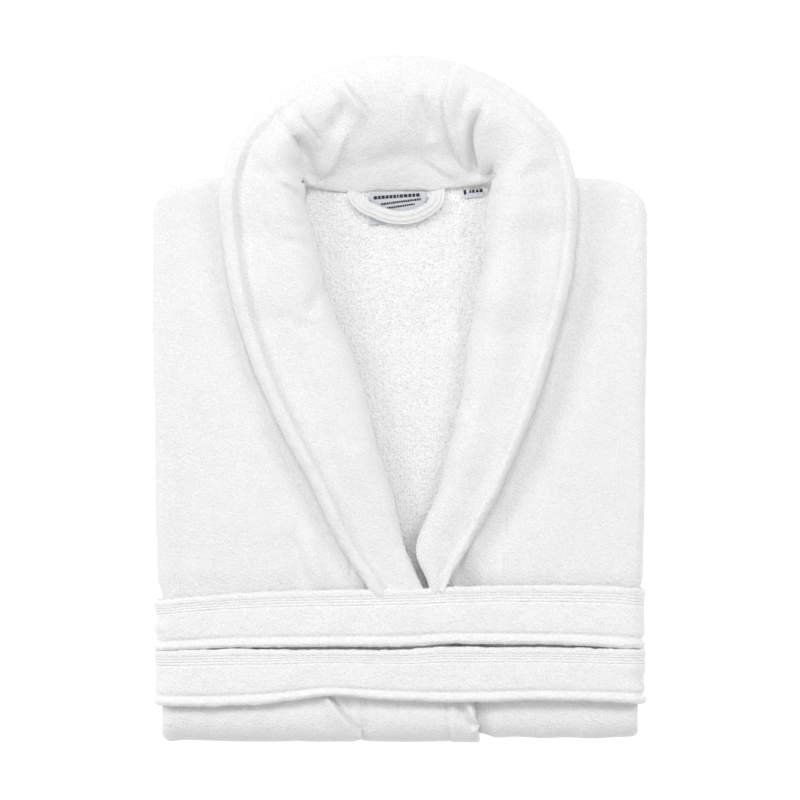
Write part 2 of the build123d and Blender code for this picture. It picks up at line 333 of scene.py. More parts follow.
def product(tree, first, second):
    made = node(tree, "ShaderNodeMath", operation="MULTIPLY")
    tree.links.new(first, made.inputs[0])
    tree.links.new(second, made.inputs[1])
    return made.outputs["Value"]


def fabric(name, grey, tuft=1.3, grain=0.4, fleck=0.05, mottle=0.015, roughness=0.95, sheen=0.2, painted_hole_shade=0.0,
           hue=(1, 1, 1)):
    """Cotton cloth. tuft is the size of the pile's tufts and grain the height of their bump, in millimetres.

    fleck and mottle are how far the tufts and the larger clouds vary in brightness. painted_hole_shade is
    painted shade: it darkens the colour in the small holes between loops, where the loops shade them."""
    material = bpy.data.materials.new(name)
    material.use_nodes = True
    tree = material.node_tree
    shader = tree.nodes["Principled BSDF"]
    shader.inputs["Roughness"].default_value = roughness
    shader.inputs["Sheen Weight"].default_value = sheen
    shader.inputs["Sheen Roughness"].default_value = 0.6
    shader.inputs["Specular IOR Level"].default_value = 0.12
    link = tree.links.new
    place = node(tree, "ShaderNodeTexCoord").outputs["Object"]
    cloud = node(tree, "ShaderNodeTexNoise", Scale=40.0, Detail=4.0, Roughness=0.6)
    pile = node(tree, "ShaderNodeTexNoise", Scale=1.0 / (tuft * MM), Detail=3.0, Roughness=0.65)
    cells = node(tree, "ShaderNodeTexVoronoi", Scale=0.62 / (tuft * MM))
    for texture in (cloud, pile, cells):
        link(place, texture.inputs["Vector"])
    value = product(
        tree,
        scaled_range(tree, cloud.outputs["Fac"], 0.3, 0.7, 1 - mottle, 1 + mottle),
        scaled_range(tree, pile.outputs["Fac"], 0.3, 0.7, 1 - fleck, 1 + fleck),
    )
    # Painted shade: the colour darkens in the small holes between the terry loops, where the loops shade each
    # other.
    if painted_hole_shade:
        holes = node(tree, "ShaderNodeTexVoronoi", Scale=1.0 / (2.1 * MM), Randomness=0.65)
        squash = node(tree, "ShaderNodeMapping")
        squash.inputs["Scale"].default_value = (0.75, 1.2, 1.0)
        link(place, squash.inputs["Vector"])
        link(squash.outputs["Vector"], holes.inputs["Vector"])
        value = product(tree, value, scaled_range(tree, holes.outputs["Distance"], 0.10, 0.38, 1 - painted_hole_shade, 1.0))
    tint = node(tree, "ShaderNodeMixRGB", blend_type="MULTIPLY")
    tint.inputs["Fac"].default_value = 1.0
    tint.inputs["Color1"].default_value = (grey * hue[0], grey * hue[1], grey * hue[2], 1)
    link(value, tint.inputs["Color2"])
    link(tint.outputs["Color"], shader.inputs["Base Color"])
    relief_of_pile = node(tree, "ShaderNodeMath", operation="SUBTRACT")
    link(pile.outputs["Fac"], relief_of_pile.inputs[0])
    link(cells.outputs["Distance"], relief_of_pile.inputs[1])
    bump = node(tree, "ShaderNodeBump")
    bump.inputs["Strength"].default_value = 1.0
    bump.inputs["Distance"].default_value = grain * MM
    link(relief_of_pile.outputs["Value"], bump.inputs["Height"])
    link(bump.outputs["Normal"], shader.inputs["Normal"])
    return material


VELOUR = fabric("velour", 0.90, grain=0.7, fleck=0.09)
BELT_VELOUR = fabric("belt_velour", 0.93, tuft=1.4, grain=0.75, fleck=0.09)
TERRY = fabric("terry_loops", 0.965, tuft=1.0, grain=0.7, fleck=0.09, sheen=0.1, painted_hole_shade=0.28)
TAPE = fabric("loop_tape", 0.80, tuft=1.5, grain=0.5, fleck=0.04)
SATIN = fabric("label_satin", 0.62, tuft=0.5, grain=0.05, fleck=0.03, roughness=0.45, sheen=0.1,
               hue=(0.96, 0.99, 1.05))
INK = fabric("label_weave", 0.05, tuft=0.5, grain=0.05, fleck=0.1, roughness=0.6, sheen=0.0,
             hue=(0.8, 0.9, 1.3))


def finish_piece(piece, material, body, slot_name, *stands_for):
    """Dresses a piece, fastens it to its body and hides the CAD nodes it stands for."""
    piece.data.materials.append(material)
    if body:
        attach(piece, body)
    if stands_for:
        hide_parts(*stands_for)
    return piece


# ------------------------------------------------------------------ the folded body
SHOULDER_R = 11.0
SHOULDER_COUNT = 9


def body_path():
    """The outer face of the bundle from over the shoulder to the skirt's second fold, seen from the side.

    Gives y, z and the normal into the cloth for each point."""
    turn = np.radians(np.linspace(-75, 90, SHOULDER_COUNT + 1))[:-1]
    shoulder = np.stack(
        [SHOULDER_Y - SHOULDER_R + SHOULDER_R * np.cos(turn), TOP - SHOULDER_R + SHOULDER_R * np.sin(turn)], 1
    )
    run = np.concatenate([np.arange(SHOULDER_Y - SHOULDER_R, -262, -2.2), np.arange(-262, FOOT_MID_Y, -1.3)])
    run = np.stack([run, np.full_like(run, TOP)], 1)
    turn = np.radians(np.concatenate([np.linspace(90, 200, 50)[:-1], np.linspace(200, 270, 14)]))
    foot = np.stack([FOOT_MID_Y + FOOT_R * np.cos(turn), MID_Z + FOOT_R * np.sin(turn)], 1)
    under = np.arange(FOOT_MID_Y + 8, SECOND_FOLD_Y, 8.0)[:, None]
    under = np.concatenate([under, np.full_like(under, UNDER)], 1)
    points = np.concatenate([shoulder, run, foot, under])
    way = np.gradient(points, axis=0)
    way /= np.linalg.norm(way, axis=1, keepdims=True)
    inward = np.stack([-way[:, 1], way[:, 0]], 1)
    return points, inward


PATH, INWARD = body_path()


def half_width(y, z):
    """Half the width of the bundle: fuller above the belt, and drawn in where the belt holds it."""
    upper = curve(np.ravel(y), [-182, -168, -60, 120, 180, SHOULDER_Y],
                  [227.2, 231.0, 233.4, 235.4, 235.6, 230.0])
    upper = upper.reshape(np.shape(y))
    lower = 226.8 + 0.6 * noise(y, z, 30, 5)
    wave = 0.8 * noise(y, z * 2, 42, 11) * smoothstep(y, -190, -150)
    return np.where(y > -182, upper + wave, lower) - 3.0 * smoothstep(MID_Z - z, 6, 20)


LAP_EDGE = [(20, -177), (50, -235), (71.5, -284), (76, -327)]


def neckline(side):
    """Plan of a front's free edge, shoulder to foot. Above the crossing it lies hidden in the lapel."""
    if side == LEFT:
        return [(-100, SHOULDER_Y + 4), (-100, 150), (-64, 30), (-14, -110), (10, -150)] + LAP_EDGE
    return [(100, SHOULDER_Y + 4), (96, 150), (76, 30), (50, -100), (38, -150), (34, -177), (-50, -260),
            (-50, -330)]


def edge_x(side, y):
    points = np.array(neckline(side), float)[::-1]
    return np.interp(y, points[:, 1], points[:, 0])


# Soft creases of the fronts: the line of each, its depth and width, and its fade where that isn't 0.3. A
# negative depth is a ridge. The collar's creases are given the same way.
FRONT_CREASES = [
    ([(180, 150), (163, 60), (131, -30), (84, -126), (58, -184)], 5.0, 19, 0.25),
    ([(-124, -20), (-96, -80), (-64, -140), (-48, -184)], 4.2, 15, 0.35),
    ([(-106, -122), (-98, -150), (-88, -182)], 3.4, 7),
    ([(-90, -122), (-81, -150), (-70, -184)], -2.6, 8),
    ([(50, -118), (55, -150), (58, -182)], 3.6, 6),
    ([(68, -120), (72, -150), (76, -182)], -1.8, 8),
    ([(196, -90), (205, -140), (203, -178)], 1.2, 9),
    ([(-205, -60), (-198, -120), (-206, -178)], 1.2, 10),
    ([(150, 190), (170, 120), (178, 40)], -0.8, 16),
    ([(-185, 190), (-196, 110), (-190, 20)], 0.8, 14),
]


def relief(x, y):
    """Height of the fronts' soft unevenness over the flat top of the bundle."""
    h = 1.0 * noise(x, y, 95, 21) + 0.5 * noise(x, y, 38, 22) + 0.16 * noise(x, y, 12, 23)
    h += 0.10 * noise(x, y, 5, 24)
    h += 1.2 * bell(y + 140, 60) * smoothstep(np.abs(x), 240, 140)
    h -= 2.6 * smoothstep(-y, 160, 181) * smoothstep(-y, 300, 288)
    for crease in FRONT_CREASES:
        h += groove(x, y, *crease)
    for seam in (-47, 100):
        h += groove(x, y, [(seam, -100), (seam, -180)], 1.3, 1.8, 0.3)
    return h


def foot_relief(x, y):
    """Creases and seams of the left front below the belt, where it is folded round the foot."""
    h = pleat(x, y, [(-72, -276), (-62, -290), (-50, -304), (-36, -324)], 6.0, 9,
              high=RIGHT, sharp=2.4, fade=0.2)
    h += groove(x, y, [(-52, -278), (-44, -296), (-30, -318)], 2.8, 5, 0.2)
    h += groove(x, y, [(-36, -276), (-36, -330)], 1.8, 1.5, 0.25)
    h += groove(x, y, [(-32, -276), (-32, -330)], 1.8, 1.5, 0.25)
    h += groove(x, y, [(44, -276), (47, -330)], 2.0, 1.8, 0.25)
    h += groove(x, y, [(50, -276), (53, -330)], -1.0, 2.6, 0.25)
    h += groove(x, y, [(54, -276), (60, -296), (72, -314)], 5.0, 3.4, 0.2)
    h += groove(x, y, [(62, -276), (68, -296), (74, -308)], -3.6, 3.4, 0.2)
    h += groove(x, y, [(60, -300), (62, -312), (66, -326)], -1.4, 3.0, 0.2)
    h += groove(x, y, [(-185, -290), (-176, -306), (-180, -326)], 1.4, 7, 0.3)
    h += groove(x, y, [(-120, -288), (-128, -306), (-122, -326)], 1.2, 8, 0.3)
    h += 1.6 * smoothstep(x, -38, -33) * smoothstep(-y, 285, 326)
    return h


def front_layout(side):
    """For each point of a front, its x and how deep it lies under the outer face of the bundle.

    The rows go from the free edge over the top and round the side fold to the end of the margin."""
    over = np.linspace(0, 1, 210) ** 0.96
    turn = np.linspace(0, 1, 16)[1:]
    margin = np.linspace(0, 1, 10)[1:]
    y, z = PATH[:, 0], PATH[:, 1]
    upper_side = z > MID_Z
    half = half_width(y, z)
    inner = edge_x(side, np.where(upper_side, y, -330))
    radius = MARGIN_DEPTH / 2
    depth_in = np.zeros(len(y))
    if side == RIGHT:
        depth_in = np.where(upper_side, 7.0 * smoothstep(-y, 120, 176), 7.0)
    x_over = side * (inner * side + (half - radius - inner * side) * over[:, None])
    lap = smoothstep(side * 96 - side * x_over, 0, 26) if side == RIGHT else 0 * x_over
    foot_step = 3.2 * smoothstep(-y, 270, 300) if side == RIGHT else 0.0
    d_over = depth_in * lap + foot_step + 0 * x_over
    angle = turn[:, None] * math.pi
    x_turn = side * (half - radius + radius * np.sin(angle))
    d_turn = radius - radius * np.cos(angle) + foot_step * (1 - turn[:, None]) + 0 * x_turn
    ragged = 4.0 * noise(y, 0 * y, 60, 12) * margin[:, None]
    x_margin = side * (half - radius - 62 * margin[:, None] + ragged)
    d_margin = MARGIN_DEPTH + 1.2 * noise(x_margin, y + 0 * x_margin, 45, 13) * margin[:, None]
    return np.concatenate([x_over, x_turn, x_margin]), np.concatenate([d_over, d_turn, d_margin])


def front_panel(name, side):
    """A front, folded round the side and the foot of the bundle, with its creases."""
    x, d = front_layout(side)
    py, pz = PATH[:, 0] + INWARD[:, 0] * d, PATH[:, 1] + INWARD[:, 1] * d
    # The deeper layers stop straight behind the rolled shoulder.
    order = np.arange(len(PATH))
    deep = smoothstep(d, 3, 14) * (order < SHOULDER_COUNT)
    back_off = (SHOULDER_COUNT - order) * 1.1
    py = py * (1 - deep) + (SHOULDER_Y - SHOULDER_R + back_off * 0.8) * deep
    pz = pz * (1 - deep) + (TOP - d) * deep
    slope = 6.0 * smoothstep(np.abs(x), 150, 236) ** 2 + 5.0 * smoothstep(np.abs(x), 205, 236)
    py = py - slope * smoothstep(py, 120, SHOULDER_Y)
    x = x - side * 5.0 * smoothstep(np.abs(x), 195, 236) * smoothstep(py, SHOULDER_Y - 26, SHOULDER_Y - 8)
    rise = relief(x, py) - 2.0 * smoothstep(-py, 275, 306)
    rise = rise + 0.9 * noise(x, py, 24, 27) * smoothstep(-py, 290, 325)
    if side == LEFT:
        rise = rise + foot_relief(x, py)
    outside = smoothstep(pz, 14, 34) * smoothstep(14 - d, 0, 12)
    py = py - INWARD[:, 0] * rise * outside
    pz = pz - INWARD[:, 1] * rise * outside
    grid = np.stack([x, py, pz], axis=2)
    n = normals(grid) * -side
    # Behind the shoulder the layers face the way they do below it.
    deep = deep[:, :SHOULDER_COUNT, None]
    first = n[:, SHOULDER_COUNT:SHOULDER_COUNT + 1]
    n[:, :SHOULDER_COUNT] = n[:, :SHOULDER_COUNT] * (1 - deep) + first * deep
    n /= np.linalg.norm(n, axis=2, keepdims=True)
    return cloth(name, grid, CLOTH, flip=side == RIGHT, n=n)


for side_name, side in SIDES:
    finish_piece(
        front_panel(f"front_{side_name}", side), VELOUR, "robe", "velour",
        f"front_panel_{side_name}", f"front_facing_{side_name}",
    )


# ------------------------------------------------------------------ the back, with its looped lining side up
def uneven(low, high, dense_low, dense_high, fine, coarse):
    """Coordinates from low to high, fine apart between the dense limits and coarse apart elsewhere."""
    before = np.arange(low, dense_low, coarse)
    dense = np.arange(dense_low, dense_high, fine)
    after = np.linspace(dense_high, high, max(3, int((high - dense_high) / coarse)))
    return np.concatenate([before, dense, after])


LOOP_HEIGHT = 1.5


def loops(x, y):
    """Height of the terry: tight rows of rounded loops, which lean this way and that."""
    along, apart = 3.2, 2.5
    u = (x + 1.8 * noise(x, y, 17, 41)) / along
    v = (y + 1.6 * noise(x, y, 21, 42)) / apart
    shift = np.random.default_rng(43).uniform(-0.28, 0.28, (2, 256, 256))
    nearest = np.full(np.shape(x), 9.0)
    row, column = np.floor(v).astype(int), np.floor(u).astype(int)
    for dr in (-1, 0, 1):
        for dc in (-1, 0, 1):
            r, c = (row + dr) % 256, (column + dc) % 256
            du = column + dc + 0.5 + 0.5 * ((row + dr) % 2) - 0.25 + shift[0, r, c] - u
            dv = row + dr + 0.5 + shift[1, r, c] - v
            nearest = np.minimum(nearest, np.hypot(du * 1.15, dv))
    dome = np.sqrt(np.clip(1 - (nearest / 0.72) ** 2, 0.0, 1))
    uneven_pile = LOOP_HEIGHT * dome + 0.3 * noise(x, y, 2.4, 48)
    return uneven_pile + 0.6 * noise(x, y, 34, 44) + 0.9 * noise(x, y, 90, 45)


SEAM_Y = 212.0


def back_path():
    """The back seen from the side, as y and z from the neck seam on, and how many points of it lie on top."""
    y_top = uneven(-SEAM_Y, -FOOT_MID_Y, -SEAM_Y, 160, 0.8, 8.0)
    top_z = FLOOR_OF_NECK
    low_z = UNDER + 12.5 + CLOTH
    r = (top_z - low_z) / 2
    turn = np.radians(np.linspace(90, 270, 12))[1:]
    foot = [(FOOT_MID_Y + r * math.cos(a), (top_z + low_z) / 2 + r * math.sin(a)) for a in turn]
    lower = [(v, low_z) for v in np.arange(FOOT_MID_Y + 10, SECOND_FOLD_Y - 6, 10.0)]
    r2 = (low_z - CLOTH) / 2
    turn = np.radians(np.linspace(-90, 90, 14))
    second = [(SECOND_FOLD_Y + r2 * math.cos(a), low_z - r2 - r2 * math.sin(a)) for a in turn]
    hem = [(v, low_z - 2 * r2) for v in np.arange(SECOND_FOLD_Y - 10, HEM_Y, -10.0)]
    path = np.concatenate([np.stack([-y_top, np.full_like(y_top, top_z)], 1), foot, lower, second, hem])
    return path, len(y_top)


def back_panel():
    """The back: the floor of the neck opening, round the foot inside the fronts, up and down again."""
    path, top_count = back_path()
    half = BACK_HIGH[0]
    x = uneven(-half, half, -93, 88, 0.8, 8.0)
    gx, gy = np.meshgrid(x, path[:, 0], indexing="ij")
    gz = np.broadcast_to(path[:, 1], gx.shape).copy()
    on_top = np.broadcast_to(np.arange(len(path)) < top_count, gx.shape)
    # Beside the neck it ends sooner, inside the shoulder's fold.
    gy -= on_top * 0.9 * np.maximum(gy - 200, 0) * smoothstep(np.abs(gx), 104, 128)
    window = smoothstep(gy, -166, -158) * smoothstep(96 - np.abs(gx), 0, 4) * on_top
    gz += window * (loops(gx, gy) - 1.2)
    # The lining sinks towards the crossing and rises to the neck seam.
    gz += on_top * (1.5 * smoothstep(gy, 150, 203) - 1.0 * smoothstep(-gy, 60, 150))
    gz -= on_top * 7 * smoothstep(gy, 194, 201)
    gz += on_top * 10 * smoothstep(gy, 202, 210) * smoothstep(np.abs(gx), 76, 86)
    # Under the bundle the layers sag and their side edges wander.
    sag = np.broadcast_to(smoothstep(np.arange(len(path)), top_count, top_count + 20), gx.shape)
    gz += sag * (1.3 * noise(gx, gy, 70, 46) - 0.8 * smoothstep(np.abs(gx), half - 60, half))
    gx *= 1 - sag * 0.012 * (1 + noise(gx, gy, 50, 47))
    gz = np.maximum(gz, CLOTH + 0.1)
    return cloth("back", np.stack([gx, gy, gz], axis=2), CLOTH, flip=True)


finish_piece(back_panel(), TERRY, "robe", "terry", "back_panel")


# ------------------------------------------------------------------ shawl collar
# A profile is ten (share of the way out, height) pairs over the collar's face. It goes from its hidden inner
# end to the hidden end under its outer edge. The third is where a lapel's roll reaches furthest in.
HEM = [(.2, 55.5), (.06, 56.5), (.0, 57.5), (.06, 59.4), (.2, 60), (.5, 60),
       (.8, 60), (.95, 59.2), (1, 57.5), (.97, 55.5)]
FLAT = [(.2, 57), (.06, 58), (.0, 59.5), (.06, 61.2), (.2, 62), (.5, 62.2),
        (.8, 62), (.95, 61.2), (1, 59.5), (.97, 57)]
TIP = [(.30, 61), (.12, 60), (.0, 63), (.10, 68), (.25, 70), (.50, 69),
       (.75, 68.5), (.94, 69), (1, 65), (.97, 61.5)]
LOW = [(.26, 51), (.08, 50), (.0, 58), (.05, 67), (.17, 71.5), (.45, 73),
       (.72, 72), (.945, 73), (1, 67), (.97, 61.5)]
MIDDLE = [(.24, 50), (.06, 50), (.0, 59), (.05, 70), (.17, 76), (.42, 77.5),
          (.72, 75), (.95, 75), (1, 68.5), (.975, 61.5)]
HIGH = [(.22, 50), (.05, 50), (.0, 60), (.05, 73), (.17, 81), (.38, 84),
        (.70, 80), (.95, 78), (1, 70.5), (.975, 61.5)]
CORNER = [(.16, 49), (.04, 50), (.0, 60), (.05, 75), (.16, 85), (.38, 90),
          (.68, 86), (.94, 81), (1, 70), (.97, 61)]
TURN = [(.0, 46), (.02, 51), (.06, 60), (.12, 73), (.24, 84), (.46, 93),
        (.72, 90), (.93, 79), (1, 66), (.965, 55)]
BEND = [(.0, 46), (.05, 50), (.13, 53.5), (.20, 63), (.30, 76), (.52, 91),
        (.76, 94), (.93, 83), (1, 60), (.965, 38)]
FLANK = [(.0, 46), (.05, 50), (.16, 56), (.24, 64), (.36, 76), (.56, 90),
         (.77, 96), (.94, 86), (1, 52), (.965, 17)]
NECK = [(.0, 46), (.05, 50), (.16, 58), (.26, 65), (.34, 74), (.52, 89),
        (.74, 98), (.93, 90), (1, 50), (.965, 10)]

LEFT_COLLAR = [
    ((49, -238), (14, -238), HEM),
    ((31, -198), (-22, -198), FLAT),
    ((23, -180), (-29, -180), TIP),
    ((9, -150), (-49, -150), TIP),
    ((-4, -95), (-78, -93), LOW),
    ((-21, -44), (-105.5, -40), MIDDLE),
    ((-36, 16), (-133, 18), MIDDLE),
    ((-53, 62), (-150, 64), MIDDLE),
    ((-70, 103), (-161.5, 108), HIGH),
    ((-78, 145), (-168, 152), HIGH),
    ((-88, 180), (-171, 190), CORNER),
    ((-91, 206), (-168, 217), CORNER),
    ((-87, 205), (-156, 250), TURN),
    ((-75, 201), (-134, 276), BEND),
    ((-52, 198), (-100, 299), FLANK),
    ((-26, 198), (-60, 317.5), NECK),
    ((2, 199), (2, 328.5), NECK),
    ((30, 200), (64, 317.5), NECK),
]
RIGHT_COLLAR = [
    ((30, -206), (38, -206), HEM),
    ((27, -193), (40, -193), FLAT),
    ((28, -180), (43, -180), TIP),
    ((16, -150), (60, -148), TIP),
    ((32, -95), (91, -92), LOW),
    ((46, -45), (114, -42), MIDDLE),
    ((59, 12), (135, 14), MIDDLE),
    ((65, 58), (147, 56), MIDDLE),
    ((73, 103), (160, 106), HIGH),
    ((81, 146), (167, 150), HIGH),
    ((82, 181), (169, 190), CORNER),
    ((86, 206), (165, 219), CORNER),
    ((85, 207), (156, 247), TURN),
    ((76, 204), (138, 271), BEND),
    ((54, 202), (103, 298), FLANK),
    ((30, 200), (64, 317.5), NECK),
    ((2, 199), (2, 328.5), NECK),
    ((-26, 198), (-60, 317.5), NECK),
]
COLLAR_CLOTH = 4.0


def collar_base(stations, rows=500, columns=170):
    """The smooth face of one side of the collar, and for each point how far in from the outer edge it lies.

    That distance is measured in plan and is negative on the hidden side of the edge. The last station lies
    past the centre back seam and only sets the direction there."""
    outer = np.array([b for _, b, _ in stations], float)
    inner = np.array([a for a, _, _ in stations], float)
    middle = (inner + outer) / 2
    steps = np.linalg.norm(np.diff(middle, axis=0), axis=1)
    steps = steps + 0.5 * np.linalg.norm(np.diff(outer, axis=0), axis=1)
    knots = np.concatenate([[0], np.cumsum(steps)])
    at = np.linspace(0, knots[-2], rows)
    inner = spline(at, knots, inner)
    outer = spline(at, knots, outer)
    profile = curve(at, knots, np.array([p for _, _, p in stations]))
    reach = np.linalg.norm(outer - inner, axis=1)
    share = np.zeros((rows, columns))
    z = np.zeros((rows, columns))
    for k in range(rows):
        points = np.stack([profile[k, :, 0] * reach[k], profile[k, :, 1]], 1)
        fine = through(points, columns)
        share[k], z[k] = fine[:, 0] / reach[k], fine[:, 1]
    plan = inner[:, None, :] + (outer - inner)[:, None, :] * share[:, :, None]
    grid = np.concatenate([plan, z[:, :, None]], axis=2)
    outermost = np.argmax(share, axis=1)[:, None]
    from_edge = (share.max(axis=1, keepdims=True) - share) * reach[:, None]
    from_edge = np.where(np.arange(columns) > outermost, -from_edge, from_edge)
    return grid, from_edge, at / knots[-2]


def neck_folds(x, y):
    """The folds that gather the collar where it turns round the neck, as heights over its smooth face."""
    # The stand lies flat, and the wall over it bulges forward along an arc.
    h = pleat(x, y, [(14, 234), (26, 229), (38, 221), (54, 211), (76, 201)], 3.2, 15,
              high=LEFT, sharp=5.0, fade=0.7)
    h += pleat(x, y, [(10, 238), (-10, 236), (-32, 229), (-56, 229)], 0.9, 14,
               high=RIGHT, sharp=8.0, fade=0.4)
    # Left of the centre back.
    h += pleat(x, y, [(-50, 254), (-54, 243), (-59, 230), (-70, 215), (-84, 208)], 3.4, 13,
               high=RIGHT, sharp=2.6, fade=0.45)
    h += groove(x, y, [(-100, 251), (-93, 239), (-87, 227), (-85, 211)], 7.5, 7.0, 0.4)
    h += pleat(x, y, [(-56, 304), (-46, 290), (-37, 278), (-29, 266)], 5.0, 9,
               high=RIGHT, sharp=2.4, fade=0.45)
    h += groove(x, y, [(-34, 262), (-42, 246), (-48, 230)], 1.6, 7, 0.45)
    h += pit(x, y, (-55, 271), (8, 14), 8.5)
    h += pit(x, y, (-64, 256), (8, 9), 3.5)
    h += pleat(x, y, [(-98, 276), (-89, 261), (-81, 250), (-74, 238)], 3.6, 9,
               high=RIGHT, sharp=1.8, fade=0.3)
    h += groove(x, y, [(-116, 284), (-103, 264), (-90, 246)], -2.6, 8, 0.35)
    h += groove(x, y, [(-104, 294), (-88, 270), (-74, 248)], -2.6, 6, 0.35)
    h += groove(x, y, [(-76, 304), (-66, 290), (-60, 280)], 2.4, 7, 0.35)
    h += pleat(x, y, [(-112, 258), (-101, 245), (-94, 235), (-89, 223)], 6.0, 13,
               high=RIGHT, sharp=2.8, fade=0.45)
    h += pleat(x, y, [(-116, 209), (-104, 203), (-90, 191)], 3.4, 10, high=LEFT, sharp=2.8, fade=0.45)
    # Right of the centre back.
    h += groove(x, y, [(17, 290), (26, 267), (30, 244)], 5.0, 5.5, 0.4)
    h += groove(x, y, [(8, 300), (12, 280), (14, 262)], -1.4, 6, 0.4)
    h += pleat(x, y, [(58, 320), (43, 290), (44, 263), (51, 240), (66, 216)], 3.6, 10,
               high=LEFT, sharp=2.2, fade=0.35)
    h += groove(x, y, [(68, 296), (58, 276), (57, 254)], 3.4, 5, 0.35)
    h += pleat(x, y, [(86, 280), (76, 265), (70, 247), (72, 229), (78, 212)], 7.0, 15,
               high=LEFT, sharp=3.6, fade=0.3)
    h += groove(x, y, [(77, 274), (70, 256), (69, 236), (76, 208)], 8.5, 7.0, 0.4)
    h += pleat(x, y, [(99, 234), (92, 222), (88, 209), (87, 196)], 2.6, 10, high=LEFT, sharp=3.0, fade=0.45)
    return h


LAPEL_CREASES = [
    ([(-70, 116), (-77, 100), (-88, 78)], 2.6, 7, 0.3),
    ([(-116, 152), (-98, 149), (-80, 143)], 1.6, 5, 0.3),
    ([(-118, 172), (-102, 166), (-84, 168)], 1.3, 5, 0.3),
    ([(-112, 84), (-96, 74), (-74, 70)], 1.2, 6, 0.3),
    ([(-118, 200), (-128, 176), (-126, 150)], 1.6, 10, 0.4),
    ([(-100, 20), (-84, -10), (-66, -50)], 1.0, 10, 0.4),
    ([(80, 150), (79, 134), (74, 116)], 2.2, 7, 0.35),
    ([(72, 90), (70, 76), (66, 58)], 1.3, 6, 0.35),
    ([(64, 24), (61, 8), (58, -12)], 1.3, 6, 0.35),
    ([(130, 205), (138, 178), (136, 150)], 1.0, 12, 0.4),
    ([(92, 20), (84, -10), (74, -50)], 1.0, 10, 0.4),
]


def lapel_folds(x, y):
    """Soft dents of the two lapels."""
    return sum(groove(x, y, *crease) for crease in LAPEL_CREASES)


def collar_edge(side, along, from_edge):
    """The thick rolled edge of the collar and the valley inside it.

    The left one curls up more, and the right one is stitched flat."""
    fades = smoothstep(along, 0.93, 0.74) * smoothstep(along, 0.05, 0.11)
    if side == LEFT:
        curl, middle, depth, width, start = 2.4, 8.0, 6.0, 13.0, 17.0
        growth = 0.75 + 0.25 * smoothstep(along, 0.1, 0.5)
    else:
        curl, middle, depth, width, start = 1.4, 5.5, 2.4, 6.0, 11.5
        growth = 0.45 + 0.55 * smoothstep(along, 0.35, 0.6)
    valley = smoothstep(from_edge, start - 4.5, start) * np.exp(-np.maximum(from_edge - start, 0) / width)
    h = fades * growth * (curl * bell(from_edge - middle, middle) - depth * valley)
    if side == RIGHT:
        for stitch in (11.5, 14.0):
            h = h - 0.5 * bell(from_edge - stitch, 0.8) * smoothstep(along, 1.0, 0.9)
    return h


def collar(name, side, stations):
    """The upper collar of one side with its creases and rolled edge, and the under collar behind it."""
    grid, from_edge, along = collar_base(stations)
    along = along[:, None] + 0 * from_edge
    x, y = grid[:, :, 0], grid[:, :, 1]
    n = normals(grid)
    if n[200, 80, 2] < 0:
        n = -n
    n[-1, :, 0] = 0
    n[-1] /= np.linalg.norm(n[-1], axis=1, keepdims=True)
    on_neck = smoothstep(along, 0.5, 0.58)
    h = neck_folds(x, y) * on_neck * smoothstep(grid[:, :, 2], 46, 58) + lapel_folds(x, y)
    h += groove(x, y, [(2, 326), (2, 280), (2, 238)], 0.7, 1.3, 0.15)
    waves = 1.0 * noise(x, y, 46, 31) + 0.5 * noise(x, y, 19, 33)
    h += waves + 0.18 * noise(x, y, 7.5, 35) + 0.1 * noise(x, y, 3.6, 36)
    h = (h + collar_edge(side, along, from_edge)) * smoothstep(from_edge, -2.5, 1.5)
    h += 0.5 * noise(along * 700, from_edge, 8, 37) * bell(from_edge - 4, 6)
    face = grid + n * h[:, :, None]
    flip = np.dot(normals(face)[200, 80], n[200, 80]) < 0
    final = normals(face) * (-1 if flip else 1)
    final[-1] = n[-1]
    # A hair's breadth past the seam keeps the shading smooth across it.
    face = np.concatenate([face, face[-1:] - (side * 0.05, 0, 0)])
    final = np.concatenate([final, final[-1:]])
    upper = cloth(f"collar_{name}", face, COLLAR_CLOTH, flip, last=False, n=final)
    under_face = (grid + n * (np.minimum(h, 0)[:, :, None] * 0.8 - COLLAR_CLOTH - 0.6))[::2, 36:-4:2]
    under = cloth(f"under_collar_{name}", under_face, 3.8, flip)
    return upper, under


def fall_blend(piece, side_name):
    """Finds the lift joint of the collar's fall and works out its axis, pivot and outward direction, which
    are not used; it only bakes the piece's transform into its mesh.
    """
    joint = next(j for j in frame["record"]["behaviour"]["joints"] if j["name"] == f"fall_{side_name}_lift")
    axis, pivot = np.array(joint["axis"], float), np.array(joint["pos_m"], float)
    outward = np.array([axis[1], -axis[0], 0.0])
    outward /= np.linalg.norm(outward)
    if outward[0] * (1 if side_name == "right" else -1) < 0:
        outward = -outward
    pivot[2] = 0.07
    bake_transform(piece)


for (side_name, side), stations in zip(SIDES, (LEFT_COLLAR, RIGHT_COLLAR)):
    upper, under = collar(side_name, side, stations)
    finish_piece(upper, VELOUR, None, "velour", f"upper_collar_{side_name}", f"upper_fall_{side_name}")
    finish_piece(under, TERRY, None, "terry", f"under_collar_{side_name}", f"under_fall_{side_name}")
    fall_blend(upper, side_name)
    fall_blend(under, side_name)


# ------------------------------------------------------------------ sash belt
BELT_OUT = BELT_HIGH[0]
BELT_Z = BELT_HIGH[2]


def belt_centre():
    """The belt's middle line over the bundle and under it, for each of its two turns: x and z."""
    out, top, low, r = BELT_OUT - 2.6, BELT_Z - 3.0, 4.6, 13.0
    tail = 166.0

    def arc(cx, cz, start, end):
        return [(cx + r * math.cos(a), cz + r * math.sin(a)) for a in np.radians(np.linspace(start, end, 13))]

    turn_up_left = arc(-out + r, low + r, 270, 180) + arc(-out + r, top - r, 180, 90)
    turn_down_right = arc(out - r, top - r, 90, 0) + arc(out - r, low + r, 0, -90)
    first = [(-tail, low)] + turn_up_left + turn_down_right
    second = turn_up_left + turn_down_right + [(tail, low)]
    return first, second


